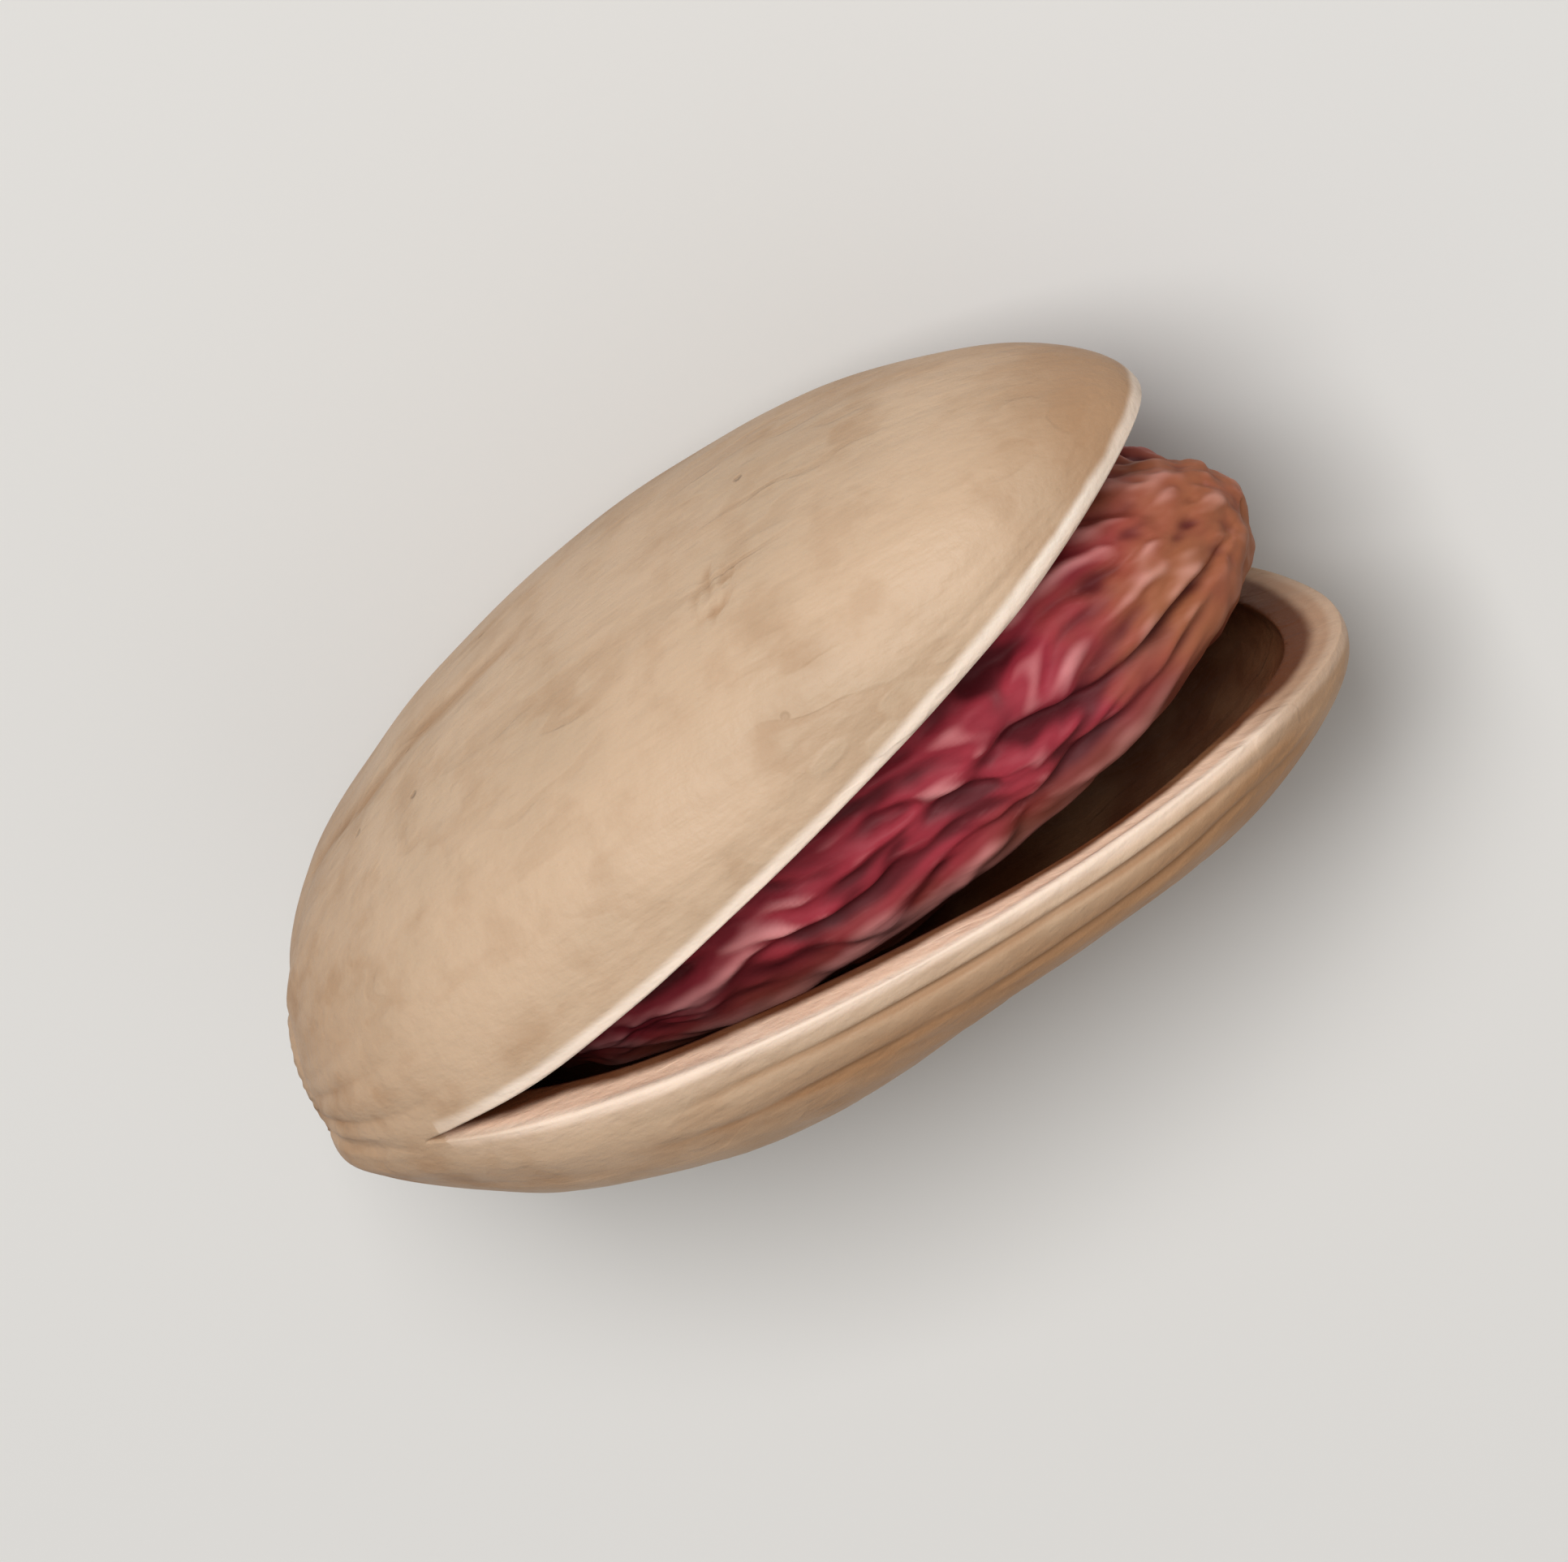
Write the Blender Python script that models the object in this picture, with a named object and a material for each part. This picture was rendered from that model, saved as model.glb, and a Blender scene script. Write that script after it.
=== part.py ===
"""A pistachio in its shell, split open and lying on a small flat spot.

The nut is worked out in its own axes first: x runs from the stem end to the tips, y through the
thickness from the lower valve to the upper one, and z from the back to the split side. It is then
leaned and pitched into the pose in which it rests.
"""

import math

import bmesh
import bpy
from mathutils import Matrix, Vector

MM = 0.001

# The closed shell, as an egg with a flatter cheek on each side of the suture plane (z, x).
NUT_LENGTH = 19.5 * MM
SPLIT_SIDE = 5.1 * MM  # middle line to the split side
BACK_SIDE = 6.8 * MM  # middle line to the back
CHEEK = 3.95 * MM  # suture plane to the outside of a valve
STEM_POWER = 0.42  # a blunt stem end
TIP_POWER = 0.68  # a narrower far end
SECTION_POWER = 0.88  # below 1, the section is squarer than an ellipse
STEM_SCAR = 0.006  # share of the length lost to the flat scar of the stalk

# The wall.
WALL = 0.9 * MM
STEM_WALL = 1.3 * MM
TIP_WALL = 1.0 * MM

# The split runs from the stem end along one side, round the tips and back along the other.
SPLIT_START = 0.1  # shares of the length
BACK_SPLIT_START = 0.2
TIP_GAP = 5.9 * MM  # between the two tips
BEND_POWER = 1.12  # how late along the nut the valves bend apart

# The kernel, free in the shell.
KERNEL_START = 2.5 * MM
KERNEL_END = 19.6 * MM
KERNEL_SPLIT_SIDE = 3.6 * MM
KERNEL_BACK_SIDE = 4.6 * MM
KERNEL_HALF = 3.3 * MM
KERNEL_STEM_POWER = 0.46
KERNEL_TIP_POWER = 0.48  # blunter than the shell, but not along its back
KERNEL_TURN = math.radians(0.7)  # towards the upper valve

# The resting pose.
LEAN = math.radians(20.0)
PITCH = math.radians(0.0)
FLAT_DEPTH = 0.35 * MM

# How finely the pieces are faceted.
STATIONS = 26
VALVE_STEPS = 13
KERNEL_STATIONS = 18
KERNEL_STEPS = 20

SHELL_COLOUR = (0.60, 0.43, 0.29)
KERNEL_COLOUR = (0.17, 0.035, 0.035)

UPPER, LOWER, JOINED = 1, -1, 0


def egg(along, stem_power, tip_power):
    """Breadth at a share of the length: 0 at the ends and 1 where it is widest."""
    widest = stem_power / (stem_power + tip_power)
    peak = widest**stem_power * (1.0 - widest) ** tip_power
    return along**stem_power * (1.0 - along) ** tip_power / peak


def squared(value):
    """A sine or cosine, drawn out towards 1 or -1 so that the section is squarer."""
    return math.copysign(abs(value) ** SECTION_POWER, value)


def stations(count, first):
    """Shares of the length, close together at both ends."""
    for i in range(count + 1):
        share = 0.5 - 0.5 * math.cos(math.pi * i / count)
        yield first + (1.0 - first) * share


def opening(x, z):
    """How far a valve has moved from the suture plane at a point of that plane.

    The valves bend apart beyond a slanting line, which joins the two ends of the split.
    """
    start = Vector((SPLIT_START * NUT_LENGTH, SPLIT_SIDE * egg(SPLIT_START, STEM_POWER, TIP_POWER)))
    end = Vector(
        (BACK_SPLIT_START * NUT_LENGTH, -BACK_SIDE * egg(BACK_SPLIT_START, STEM_POWER, TIP_POWER))
    )
    line = (end - start).normalized()
    across = Vector((-line.y, line.x))
    reach = across.dot(Vector((NUT_LENGTH, 0.0)) - start)
    past = max(0.0, across.dot(Vector((x, z)) - start))
    return 0.5 * TIP_GAP * (past / reach) ** BEND_POWER


def skin_point(along, angle, side, inset):
    """A point of the shell's outside (inset 0) or of its cavity (inset 1).

    The angle goes round a valve from the split side, at 0, to the back, at pi.
    """
    breadth = egg(along, STEM_POWER, TIP_POWER)
    first = inset * STEM_WALL
    last = NUT_LENGTH - inset * TIP_WALL
    half = SPLIT_SIDE if math.cos(angle) > 0.0 else BACK_SIDE
    x = first + (last - first) * along
    z = (half - inset * WALL) * breadth * squared(math.cos(angle))
    y = (CHEEK - inset * WALL) * breadth * squared(math.sin(angle))
    return Vector((x, side * (y + opening(x, z)), z))


def make_shell():
    """Two valves of one piece: an outer and an inner skin, joined along the rim of the split."""
    mesh = bmesh.new()
    shares = list(stations(STATIONS, STEM_SCAR))
    split_from = min(i for i, share in enumerate(shares) if share >= SPLIT_START)
    back_split_from = min(i for i, share in enumerate(shares) if share >= BACK_SPLIT_START)
    points = {}

    def point(inset, i, j, side):
        joined = (j == 0 and i <= split_from) or (j == VALVE_STEPS and i <= back_split_from)
        if joined:
            side = JOINED
        if i == STATIONS:
            j = 0
        key = (inset, i, j, side)
        if key not in points:
            angle = math.pi * j / VALVE_STEPS
            points[key] = mesh.verts.new(skin_point(shares[i], angle, side, inset))
        return points[key]

    def face(*corners):
        mesh.faces.new(list(dict.fromkeys(corners)))

    for side in (UPPER, LOWER):
        for inset in (0, 1):
            for i in range(STATIONS):
                for j in range(VALVE_STEPS):
                    face(
                        point(inset, i, j, side),
                        point(inset, i + 1, j, side),
                        point(inset, i + 1, j + 1, side),
                        point(inset, i, j + 1, side),
                    )
        for j, first in ((0, split_from), (VALVE_STEPS, back_split_from)):
            for i in range(first, STATIONS):
                face(
                    point(0, i, j, side),
                    point(0, i + 1, j, side),
                    point(1, i + 1, j, side),
                    point(1, i, j, side),
                )
    for inset in (0, 1):
        upper = [point(inset, 0, j, UPPER) for j in range(VALVE_STEPS + 1)]
        lower = [point(inset, 0, j, LOWER) for j in range(VALVE_STEPS - 1, 0, -1)]
        face(*upper, *lower)
    return mesh


def make_kernel():
    """The seed: an egg that fills most of the cavity and ends just short of the tips."""
    mesh = bmesh.new()
    rings = []
    for along in list(stations(KERNEL_STATIONS, 0.0))[1:-1]:
        blunt = egg(along, KERNEL_STEM_POWER, KERNEL_TIP_POWER)
        split_side = KERNEL_SPLIT_SIDE * blunt
        back_side = KERNEL_BACK_SIDE * egg(along, KERNEL_STEM_POWER, TIP_POWER)
        length = (KERNEL_END - KERNEL_START) * along
        x = KERNEL_START + length
        middle = length * math.tan(KERNEL_TURN)
        ring = []
        for j in range(KERNEL_STEPS):
            angle = 2.0 * math.pi * j / KERNEL_STEPS
            half = split_side if math.cos(angle) > 0.0 else back_side
            y = middle + KERNEL_HALF * blunt * math.sin(angle)
            ring.append(mesh.verts.new((x, y, half * math.cos(angle))))
        rings.append(ring)
    for ring, following in zip(rings, rings[1:]):
        for j in range(KERNEL_STEPS):
            k = (j + 1) % KERNEL_STEPS
            mesh.faces.new((ring[j], ring[k], following[k], following[j]))
    for ring, x in ((rings[0], KERNEL_START), (rings[-1], KERNEL_END)):
        end = mesh.verts.new((x, (x - KERNEL_START) * math.tan(KERNEL_TURN), 0.0))
        for j in range(KERNEL_STEPS):
            mesh.faces.new((end, ring[j], ring[(j + 1) % KERNEL_STEPS]))
    return mesh


def resting_pose(shell):
    """Leans and pitches the nut, sinks it by the depth of its flat spot and centres its box."""
    turn = Matrix.Rotation(PITCH, 4, "Y") @ Matrix.Rotation(LEAN, 4, "X")
    places = [turn @ vert.co for vert in shell.verts]
    low = Vector([min(place[axis] for place in places) for axis in range(3)])
    high = Vector([max(place[axis] for place in places) for axis in range(3)])
    middle = (low + high) / 2.0
    return Matrix.Translation((-middle.x, -middle.y, -low.z - FLAT_DEPTH)) @ turn


def material(name, colour, roughness):
    made = bpy.data.materials.new(name)
    made.use_nodes = True
    surface = made.node_tree.nodes["Principled BSDF"]
    surface.inputs["Base Color"].default_value = (*colour, 1.0)
    surface.inputs["Roughness"].default_value = roughness
    surface.inputs["Metallic"].default_value = 0.0
    return made


def add_object(name, mesh, pose, finish):
    """Makes a smooth shaded object of a finished mesh, with its faces turned out."""
    mesh.transform(pose)
    bmesh.ops.recalc_face_normals(mesh, faces=mesh.faces)
    data = bpy.data.meshes.new(name)
    mesh.to_mesh(data)
    mesh.free()
    data.shade_smooth()
    data.set_sharp_from_angle(angle=math.radians(40.0))
    data.materials.append(finish)
    made = bpy.data.objects.new(name, data)
    bpy.context.scene.collection.objects.link(made)
    return made


def cut_flat_spot(shell):
    """Cuts the shell off level at the height it stands on."""
    size = 2.0 * NUT_LENGTH
    box = bmesh.new()
    bmesh.ops.create_cube(box, size=size)
    bmesh.ops.translate(box, verts=box.verts, vec=(0.0, 0.0, -size / 2.0))
    data = bpy.data.meshes.new("ground_cutter")
    box.to_mesh(data)
    box.free()
    cutter = bpy.data.objects.new("ground_cutter", data)
    cutter.hide_render = True
    cutter.display_type = "WIRE"
    bpy.context.scene.collection.objects.link(cutter)
    cut = shell.modifiers.new("flat_spot", "BOOLEAN")
    cut.operation = "DIFFERENCE"
    cut.solver = "EXACT"
    cut.object = cutter


def main():
    for old in list(bpy.data.objects):
        bpy.data.objects.remove(old, do_unlink=True)
    shell_mesh = make_shell()
    pose = resting_pose(shell_mesh)
    shell = add_object("shell", shell_mesh, pose, material("shell", SHELL_COLOUR, 0.5))
    cut_flat_spot(shell)
    add_object("kernel", make_kernel(), pose, material("kernel", KERNEL_COLOUR, 0.45))


main()
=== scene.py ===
"""The looks of a pistachio in its shell: a split, bent-open shell and the wrinkled kernel in it.

The nut is modelled in its own axes: x from the stem end to the tips, y through the thickness from the
lower valve to the upper one, and z from the back to the split side. Each piece is then leaned and
pitched into the pose in which the nut rests, and put where the frame has it.
"""

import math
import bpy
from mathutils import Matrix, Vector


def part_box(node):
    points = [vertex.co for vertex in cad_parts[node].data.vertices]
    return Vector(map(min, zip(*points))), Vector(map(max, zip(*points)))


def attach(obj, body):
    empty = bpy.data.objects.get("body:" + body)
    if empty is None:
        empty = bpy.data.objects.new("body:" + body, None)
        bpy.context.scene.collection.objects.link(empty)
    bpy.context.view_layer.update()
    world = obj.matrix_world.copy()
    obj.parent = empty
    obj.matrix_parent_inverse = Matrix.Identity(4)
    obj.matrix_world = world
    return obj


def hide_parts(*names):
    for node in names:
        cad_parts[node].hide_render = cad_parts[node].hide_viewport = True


bl_info = {
    "name": "Pistachio in Shell",
    "version": (1, 0, 0),
    "blender": (4, 5, 0),
    "location": "View3D > Sidebar > Pistachio",
    "description": "Models a split pistachio shell with its kernel, and a plain stage",
    "category": "Add Mesh",
}

import bpy
import numpy as np
from bpy.props import FloatProperty, FloatVectorProperty, PointerProperty
from mathutils import Matrix, Quaternion, Vector, noise

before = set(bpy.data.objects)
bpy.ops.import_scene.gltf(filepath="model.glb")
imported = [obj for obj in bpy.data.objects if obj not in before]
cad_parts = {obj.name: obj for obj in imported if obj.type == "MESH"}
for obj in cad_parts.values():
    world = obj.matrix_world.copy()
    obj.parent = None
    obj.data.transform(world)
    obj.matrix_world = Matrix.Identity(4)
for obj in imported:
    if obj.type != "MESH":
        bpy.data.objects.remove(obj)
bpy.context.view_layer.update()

MM = 0.001

# The egg profiles: a blunt stem end and a narrower far end.
STEM_POWER = 0.42
TIP_POWER = 0.68
KERNEL_STEM_POWER = 0.46
KERNEL_TIP_POWER = 0.48

# Share of the length lost to the flat scar of the stalk.
STEM_SCAR = 0.006

# How much of the length the tips take to round off.
TIP_ROUNDING = 0.09

# The share of the wall lost towards the tips, and between which shares of the length it goes.
TIP_THINNING = 0.36
THINNING_STARTS = 0.45
THINNING_ENDS = 0.92

# Below 1, the shell's section is squarer than an ellipse.
SECTION_POWER = 0.88

# How finely the pieces are first faceted, before each facet is divided in sixteen, and how far the
# shell's facets are crowded towards its rim.
SHELL_SEGMENTS = 56
SHELL_RINGS = 48
KERNEL_SEGMENTS = 80
KERNEL_RINGS = 70
DIVISIONS = 2
RIM_CROWDING = 0.28

# How finely the plain closed form is sampled to find its box.
FORM_STATIONS = 160
FORM_STEPS = 90

# The smallest share of the length that is divided by, and how far off the suture plane, in metres, a
# point still counts as on it.
SMALLEST_SHARE = 1e-9
ON_SUTURE = 1e-7


# ---------------------------------------------------------------- sizes and colours


class NutSizes(bpy.types.PropertyGroup):
    """The sizes of the nut, and how it lies."""

    length: FloatProperty(
        name="Length", description="From the stem end to the tips", default=19.5 * MM, unit="LENGTH"
    )
    split_side: FloatProperty(
        name="Split side",
        description="From the middle line to the split side at its widest",
        default=5.1 * MM,
        unit="LENGTH",
    )
    back_side: FloatProperty(
        name="Back", description="From the middle line to the back", default=6.8 * MM, unit="LENGTH"
    )
    cheek: FloatProperty(
        name="Cheek", description="Half the thickness of the closed nut", default=3.95 * MM, unit="LENGTH"
    )
    wall: FloatProperty(
        name="Wall", description="Thickness of the shell", default=0.9 * MM, unit="LENGTH"
    )
    stem_wall: FloatProperty(
        name="Stem wall", description="Thickness at the stem end", default=1.3 * MM, unit="LENGTH"
    )
    tip_wall: FloatProperty(
        name="Tip wall", description="Thickness at the tips", default=1.0 * MM, unit="LENGTH"
    )
    split_start: FloatProperty(
        name="Split start",
        description="Where the split starts, as a share of the length",
        default=0.1,
        subtype="FACTOR",
    )
    back_split_start: FloatProperty(
        name="Back split start",
        description="Where the split ends on the back, as a share of the length",
        default=0.2,
        subtype="FACTOR",
    )
    tip_gap: FloatProperty(
        name="Gap at the tips", description="Between the two tips", default=5.9 * MM, unit="LENGTH"
    )
    bend_power: FloatProperty(
        name="Bend", description="How late along the nut the valves bend apart", default=1.12
    )
    kernel_start: FloatProperty(
        name="Kernel start", description="From the stem end", default=2.5 * MM, unit="LENGTH"
    )
    kernel_end: FloatProperty(
        name="Kernel end", description="From the stem end", default=19.6 * MM, unit="LENGTH"
    )
    kernel_split_side: FloatProperty(
        name="Kernel split side",
        description="From the middle line to the kernel's split side",
        default=3.6 * MM,
        unit="LENGTH",
    )
    kernel_back_side: FloatProperty(
        name="Kernel back", description="From the middle line", default=4.6 * MM, unit="LENGTH"
    )
    kernel_half: FloatProperty(
        name="Kernel cheek", description="Half the kernel's thickness", default=3.3 * MM, unit="LENGTH"
    )
    kernel_turn: FloatProperty(
        name="Kernel turn",
        description="How far the kernel is turned towards the upper valve",
        default=math.radians(0.7),
        unit="ROTATION",
    )
    lean: FloatProperty(
        name="Lean", description="How far the nut leans over", default=math.radians(20.0), unit="ROTATION"
    )
    pitch: FloatProperty(
        name="Pitch", description="How far the tips point down", default=0.0, unit="ROTATION"
    )


def colour(name, description, value):
    return FloatVectorProperty(
        name=name, description=description, default=value, size=3, min=0.0, max=1.0, subtype="COLOR"
    )


class NutColours(bpy.types.PropertyGroup):
    """The colours of the shell, the kernel and the stage."""

    shell: colour("Shell", "Most of the outside", (0.60, 0.425, 0.285))
    shell_grey: colour("Shell, dull", "Duller patches", (0.52, 0.37, 0.245))
    # Besides stains, this colour paints shade on the flanks, at the ends, in the hollows and on the far
    # wall.
    shell_stain_and_shade: colour("Shell, warm", "Stains in the furrows and at the ends", (0.36, 0.19, 0.09))
    # Also painted shade on the lower valve's far rim.
    speck_and_shade: colour("Specks", "Small brown specks", (0.27, 0.15, 0.075))
    # Painted light: brighter than the rim's own colour, standing for light where the upper valve shades
    # it.
    rim: colour("Rim", "The wall along the split", (0.92, 0.63, 0.455))
    lip: colour("Lip", "The worn outer edge of the split", (0.96, 0.83, 0.71))
    # Painted shade: darker than the inside of a shell is, standing for the shade inside it.
    cavity: colour("Cavity", "Inside the shell", (0.12, 0.036, 0.012))
    skin_red: colour("Kernel, red", "The kernel's skin", (0.34, 0.030, 0.048))
    # Also painted shade in the kernel's creases.
    skin_dark_and_crease_shade: colour("Kernel, dark", "Creases of the skin", (0.085, 0.008, 0.012))
    # Also painted highlights on the kernel's ridges and blunt end.
    skin_pale_and_highlight: colour("Kernel, pale", "Ridges of the skin", (0.78, 0.33, 0.33))
    skin_brown: colour("Kernel, brown", "The kernel's blunt end", (0.33, 0.12, 0.052))
    skin_flank: colour("Kernel, flank", "The kernel's smoother side", (0.14, 0.036, 0.018))
    floor: colour("Floor", "The plain floor", (0.68, 0.67, 0.65))


# ---------------------------------------------------------------- shape of the nut


def egg(along, stem_power, tip_power):
    """Breadth at a share of the length: 0 at the ends and 1 where it is widest."""
    widest = stem_power / (stem_power + tip_power)
    peak = widest**stem_power * (1.0 - widest) ** tip_power
    along = np.clip(along, 0.0, 1.0)
    return along**stem_power * (1.0 - along) ** tip_power / peak


def shell_breadth(along, rounding=TIP_ROUNDING):
    """The shell's breadth, with its pointed far end rounded off."""
    tip = np.maximum(1.0 - np.clip(along, 0.0, 1.0), SMALLEST_SHARE)
    widest = TIP_POWER / (STEM_POWER + TIP_POWER)
    rounded = ((1.0 + rounding / tip) / (1.0 + rounding / widest)) ** (TIP_POWER - 0.5)
    return egg(along, STEM_POWER, TIP_POWER) * rounded


def opening(sizes, x, z):
    """How far a valve has moved from the suture plane at points of that plane.

    The valves bend apart beyond a slanting line, which joins the two ends of the split.
    """
    breadth = egg(sizes.split_start, STEM_POWER, TIP_POWER)
    back_breadth = egg(sizes.back_split_start, STEM_POWER, TIP_POWER)
    start = Vector((sizes.split_start * sizes.length, sizes.split_side * breadth))
    end = Vector((sizes.back_split_start * sizes.length, -sizes.back_side * back_breadth))
    line = (end - start).normalized()
    across = Vector((-line.y, line.x))
    reach = across.dot(Vector((sizes.length, 0.0)) - start)
    past = across.x * (x - start.x) + across.y * (z - start.y)
    return 0.5 * sizes.tip_gap * (np.maximum(past, 0.0) / reach) ** sizes.bend_power


def squared(value):
    """A sine or cosine, drawn out towards 1 or -1 so that the section is squarer."""
    return np.sign(value) * np.abs(value) ** SECTION_POWER


def section_angle(sizes, closed_y, z):
    """The angle round a valve at which the closed outside has this direction from its middle line."""
    half = np.where(z > 0.0, sizes.split_side, sizes.back_side)
    rise = (np.abs(closed_y) / sizes.cheek) ** (1.0 / SECTION_POWER)
    run = np.sign(z) * (np.abs(z) / half) ** (1.0 / SECTION_POWER)
    return np.arctan2(rise, run)


def skin_places(sizes, along, angle, side, inset, rounding=TIP_ROUNDING):
    """Places on the closed shell's outside (inset 0) or on its cavity (inset 1).

    The angle goes round a valve from the split side, at 0, to the back, at pi. The side is 1 on the
    upper valve, -1 on the lower one and 0 where they are joined.
    """
    breadth = shell_breadth(along, rounding)
    thinning = TIP_THINNING * ramp(along, THINNING_STARTS, THINNING_ENDS)
    wall = inset * sizes.wall * (1.0 - thinning)
    first = inset * sizes.stem_wall
    last = sizes.length - inset * sizes.tip_wall
    half = np.where(np.cos(angle) > 0.0, sizes.split_side, sizes.back_side)
    x = first + (last - first) * along
    y = side * (sizes.cheek - wall) * breadth * squared(np.sin(angle))
    z = (half - wall) * breadth * squared(np.cos(angle))
    return np.stack([x, y, z], axis=1)


def bend_open(sizes, places, side):
    """Moves places of the closed nut apart, with the valves that they are on."""
    bent = places.copy()
    bent[:, 1] += side * opening(sizes, places[:, 0], places[:, 2])
    return bent


# ---------------------------------------------------------------- helpers for meshes


def deselect_all():
    bpy.ops.object.select_all(action="DESELECT")


def add_ball(name, segments, rings):
    """A ball of radius 1 with its poles on the x axis, as the start of a piece."""
    deselect_all()
    bpy.ops.mesh.primitive_uv_sphere_add(
        segments=segments, ring_count=rings, radius=1.0, location=(0, 0, 0), rotation=(0, math.pi / 2, 0)
    )
    ball = bpy.context.active_object
    ball.name = name
    ball.data.name = name
    bpy.ops.object.transform_apply(location=False, rotation=True, scale=False)
    return ball


def get_places(mesh):
    places = np.empty(len(mesh.vertices) * 3)
    mesh.vertices.foreach_get("co", places)
    return places.reshape(-1, 3)


def set_places(mesh, places):
    mesh.vertices.foreach_set("co", places.ravel())
    mesh.update()


def get_normals(mesh):
    normals = np.empty(len(mesh.vertices) * 3)
    mesh.vertex_normals.foreach_get("vector", normals)
    return normals.reshape(-1, 3)


def get_numbers(mesh, name):
    numbers = np.empty(len(mesh.vertices))
    mesh.attributes[name].data.foreach_get("value", numbers)
    return numbers


def set_numbers(mesh, name, numbers):
    """Keeps one number for each point of the mesh, for its material to read."""
    kept = mesh.attributes.get(name) or mesh.attributes.new(name, "FLOAT", "POINT")
    kept.data.foreach_set("value", numbers.astype(float))


def select_edges(piece, chosen):
    """Selects only these edges, with the piece left in edit mode."""
    mesh = piece.data
    mesh.vertices.foreach_set("select", np.zeros(len(mesh.vertices), bool))
    mesh.polygons.foreach_set("select", np.zeros(len(mesh.polygons), bool))
    mesh.edges.foreach_set("select", np.zeros(len(mesh.edges), bool))
    for index in chosen:
        edge = mesh.edges[int(index)]
        edge.select = True
        for end in edge.vertices:
            mesh.vertices[end].select = True
    bpy.ops.object.mode_set(mode="EDIT")
    bpy.context.tool_settings.mesh_select_mode = (False, True, False)


def edge_ends(mesh):
    ends = np.empty(len(mesh.edges) * 2, int)
    mesh.edges.foreach_get("vertices", ends)
    return ends.reshape(-1, 2)


def apply_modifier(piece, kind, **settings):
    made = piece.modifiers.new(kind.lower(), kind)
    for name, value in settings.items():
        setattr(made, name, value)
    bpy.ops.object.modifier_apply(modifier=made.name)


def divide(piece):
    """Rounds the piece off by dividing its facets."""
    apply_modifier(piece, "SUBSURF", levels=DIVISIONS, render_levels=DIVISIONS)


# What soft noise is multiplied by, so that its humps reach 1.
RIDGE_HEIGHT = 2.2


def smooth_noise(points, scale, shift):
    """Soft noise from -1 to 1 at points, with features of about 1 / scale.

    Each pattern has a shift of its own, so that no two are alike.
    """
    moved = points * scale + shift
    return np.fromiter((noise.noise(point) for point in moved), float, len(moved))


def ridges(points, scale, shift):
    """Noise with sharp valleys at 0 and broad humps up to 1."""
    return np.minimum(1.0, RIDGE_HEIGHT * np.abs(smooth_noise(points, scale, shift)))


def bump(distance, width):
    """A rounded hump of height 1 about distance 0."""
    return np.exp(-((distance / width) ** 2))


def ramp(value, low, high):
    """0 below low, 1 above high and a smooth step between."""
    share = np.clip((value - low) / (high - low), 0.0, 1.0)
    return share * share * (3.0 - 2.0 * share)


def plateau(value, low, full, fading, gone):
    """0 up to low, 1 from full to fading and 0 from gone on, with smooth steps between."""
    return ramp(value, low, full) * (1.0 - ramp(value, fading, gone))


def lay_down(sizes, places):
    """Leans and pitches places of the nut's own axes."""
    turn = Matrix.Rotation(sizes.pitch, 3, "Y") @ Matrix.Rotation(sizes.lean, 3, "X")
    return places @ np.array(turn).T


def frame_shift(sizes):
    """What carries the laid nut to where the frame has it, found from its plain closed form."""
    share = 0.5 - 0.5 * np.cos(np.linspace(0.0, math.pi, FORM_STATIONS))
    along = STEM_SCAR + (1.0 - STEM_SCAR) * share
    angle = np.linspace(0.0, math.pi, FORM_STEPS)
    grid_along, grid_angle = (grid.ravel() for grid in np.meshgrid(along, angle))
    whole = []
    for side in (1, -1):
        places = skin_places(sizes, grid_along, grid_angle, side, 0, rounding=0.0)
        whole.append(lay_down(sizes, bend_open(sizes, places, side)))
    whole = np.concatenate(whole)
    low, high = (np.array(corner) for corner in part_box("shell"))
    shift = (low + high) / 2.0 - (whole.min(axis=0) + whole.max(axis=0)) / 2.0
    shift[2] = high[2] - whole[:, 2].max()
    return shift


def finish_piece(piece, node, material):
    """Shades a piece smooth, gives it its material, hangs it on the root body and hides its part of the
    frame.
    """
    piece.data.materials.clear()
    piece.data.materials.append(material)
    deselect_all()
    piece.select_set(True)
    bpy.context.view_layer.objects.active = piece
    bpy.ops.object.shade_smooth()
    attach(piece, "root")
    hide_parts(node)


# ---------------------------------------------------------------- the shell


def sides_of(mesh):
    """1, -1 or 0 for each point: on the upper valve, on the lower one, or where they are joined."""
    sums = np.zeros(len(mesh.vertices))
    for polygon in mesh.polygons:
        sums[list(polygon.vertices)] += math.copysign(1.0, polygon.center.y)
    return np.where(np.abs(sums) < 0.5, 0.0, np.sign(sums))


def shell_coordinates(sizes, mesh):
    """Share of the length and angle round the valve, for points of the closed outside."""
    places = get_places(mesh)
    along = np.clip(places[:, 0] / sizes.length, 0.0, 1.0)
    return along, section_angle(sizes, places[:, 1], places[:, 2])


def shape_closed_shell(sizes, shell):
    """Draws the ball out into the closed nut, with its facets crowded towards the rim."""
    ball = get_places(shell.data)
    along = (1.0 + ball[:, 0]) / 2.0
    angle = np.arctan2(np.abs(ball[:, 1]), ball[:, 2])
    angle = angle - RIM_CROWDING * np.sin(2.0 * angle)
    side = np.sign(np.round(ball[:, 1], 6))
    set_places(shell.data, skin_places(sizes, along, angle, side, 0))


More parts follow.
